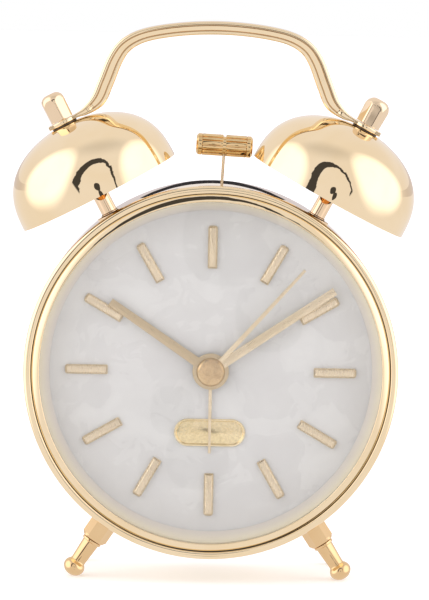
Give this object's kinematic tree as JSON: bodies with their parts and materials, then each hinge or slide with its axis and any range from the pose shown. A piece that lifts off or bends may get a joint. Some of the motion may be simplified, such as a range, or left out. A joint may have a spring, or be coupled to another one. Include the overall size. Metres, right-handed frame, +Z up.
{
  "type": "alarm clock",
  "caption": "Twin-bell alarm clock with a round case, bar-marker dial, bow handle, swinging hammer and two splayed feet.",
  "frame": {"origin": "on the surface the clock stands on, under the middle of its bounding box", "axes": "+Z up, the dial faces -Y, +X to the right of someone reading the dial"},
  "size_m": [0.1182, 0.0564, 0.1641],
  "materials": {
    "polished_gold": "polished pale gold plating",
    "deep_gold": "polished warm gold plating",
    "satin_gold": "satin champagne gold",
    "lens_glass": "clear flat lens",
    "rehaut": "satin beige",
    "pearl_dial": "mother-of-pearl effect",
    "cream_plastic": "fine moulded grain",
    "white_plastic": "moulded",
    "steel": "plated",
    "brass_wheels": "stamped",
    "copper_wire": "enamelled wire",
    "circuit": "lacquered board",
    "battery_can": "plain sleeve"
  },
  "bodies": {
    "case": {"case_shell": "polished_gold", "front_bezel": "polished_gold", "bell_left": "polished_gold", "bell_right": "polished_gold", "bell_post_left": "polished_gold", "bell_post_right": "polished_gold", "bell_nut_left": "polished_gold", "bell_nut_right": "polished_gold", "handle": "polished_gold", "foot_collar_left": "polished_gold", "foot_collar_right": "polished_gold", "foot_leg_left": "polished_gold", "foot_leg_right": "polished_gold", "lens": "lens_glass", "dial_ring": "rehaut", "dial_plate": "pearl_dial", "hour_marker_01": "satin_gold", "hour_marker_02": "satin_gold", "hour_marker_03": "satin_gold", "hour_marker_04": "satin_gold", "hour_marker_05": "satin_gold", "hour_marker_06": "satin_gold", "hour_marker_07": "satin_gold", "hour_marker_08": "satin_gold", "hour_marker_09": "satin_gold", "hour_marker_10": "satin_gold", "hour_marker_11": "satin_gold", "hour_marker_12": "satin_gold", "name_plate": "deep_gold", "rear_cover": "cream_plastic", "movement_front_case": "white_plastic", "movement_rear_case": "white_plastic", "rear_screw_1": "steel", "rear_screw_2": "steel", "rear_screw_3": "steel", "striker_motor": "steel", "stator": "steel", "battery_spring": "steel", "drive_coil": "copper_wire", "circuit_board": "circuit", "battery": "battery_can"},
    "minute_work": {"minute_hand": "satin_gold", "minute_wheel": "brass_wheels"},
    "hour_work": {"hour_hand": "satin_gold", "hour_wheel": "brass_wheels"},
    "time_setting": {"time_set_knob": "cream_plastic", "motion_wheel": "brass_wheels"},
    "second_work": {"second_hand": "deep_gold", "second_wheel": "brass_wheels"},
    "intermediate": {"intermediate_wheel": "brass_wheels"},
    "rotor_shaft": {"rotor": "steel"},
    "alarm_work": {"alarm_hand": "satin_gold", "alarm_wheel": "brass_wheels"},
    "alarm_setting": {"alarm_set_knob": "cream_plastic", "alarm_setting_wheel": "brass_wheels"},
    "hammer": {"hammer_arm": "satin_gold", "hammer_head": "deep_gold"},
    "crank": {"motor_crank": "brass_wheels"},
    "switch": {"alarm_switch": "cream_plastic"},
    "door": {"battery_door": "cream_plastic"}
  },
  "joints": [
    {"name": "minute_hand_spin", "type": "hinge", "parent": "case", "child": "minute_work", "pos_m": [0, -0.0153, 0.0621], "axis": [0, 1, 0], "continuous": true},
    {"name": "hour_hand_spin", "type": "hinge", "parent": "case", "child": "hour_work", "pos_m": [0, -0.0153, 0.0621], "axis": [0, 1, 0], "continuous": true},
    {"name": "time_set_knob_spin", "type": "hinge", "parent": "case", "child": "time_setting", "pos_m": [-0.012, 0.0147, 0.0621], "axis": [0, 1, 0], "continuous": true},
    {"name": "second_hand_spin", "type": "hinge", "parent": "case", "child": "second_work", "pos_m": [0, -0.0153, 0.0621], "axis": [0, 1, 0], "continuous": true},
    {"name": "intermediate_wheel_spin", "type": "hinge", "parent": "case", "child": "intermediate", "pos_m": [0.00636, -0.0073, 0.06846], "axis": [0, 1, 0], "continuous": true},
    {"name": "rotor_spin", "type": "hinge", "parent": "case", "child": "rotor_shaft", "pos_m": [0.00636, -0.0053, 0.07546], "axis": [0, 1, 0], "continuous": true},
    {"name": "alarm_hand_spin", "type": "hinge", "parent": "case", "child": "alarm_work", "pos_m": [0, -0.0153, 0.0621], "axis": [0, 1, 0], "continuous": true},
    {"name": "alarm_set_knob_spin", "type": "hinge", "parent": "case", "child": "alarm_setting", "pos_m": [0.012, 0.0147, 0.0621], "axis": [0, 1, 0], "continuous": true},
    {"name": "hammer_swing", "type": "hinge", "parent": "case", "child": "hammer", "pos_m": [0, 0.0033, 0.0676], "axis": [0, 1, 0], "range_deg": [-5.6, 0]},
    {"name": "motor_crank_spin", "type": "hinge", "parent": "case", "child": "crank", "pos_m": [0, 0.0057, 0.1001], "axis": [0, 1, 0], "continuous": true},
    {"name": "alarm_switch_slide", "type": "slide", "parent": "case", "child": "switch", "axis": [1, 0, 0], "range_m": [0, 0.004]},
    {"name": "battery_door_removal", "type": "slide", "parent": "case", "child": "door", "axis": [0, 1, 0], "range_m": [0, 0.03]}
  ],
  "couplings": [
    {"joint": "hour_hand_spin", "follows": "minute_hand_spin", "ratio": 0.083333},
    {"joint": "time_set_knob_spin", "follows": "minute_hand_spin", "ratio": -0.33333},
    {"joint": "intermediate_wheel_spin", "follows": "second_hand_spin", "ratio": -5},
    {"joint": "rotor_spin", "follows": "second_hand_spin", "ratio": 30},
    {"joint": "alarm_set_knob_spin", "follows": "alarm_hand_spin", "ratio": -1}
  ]
}
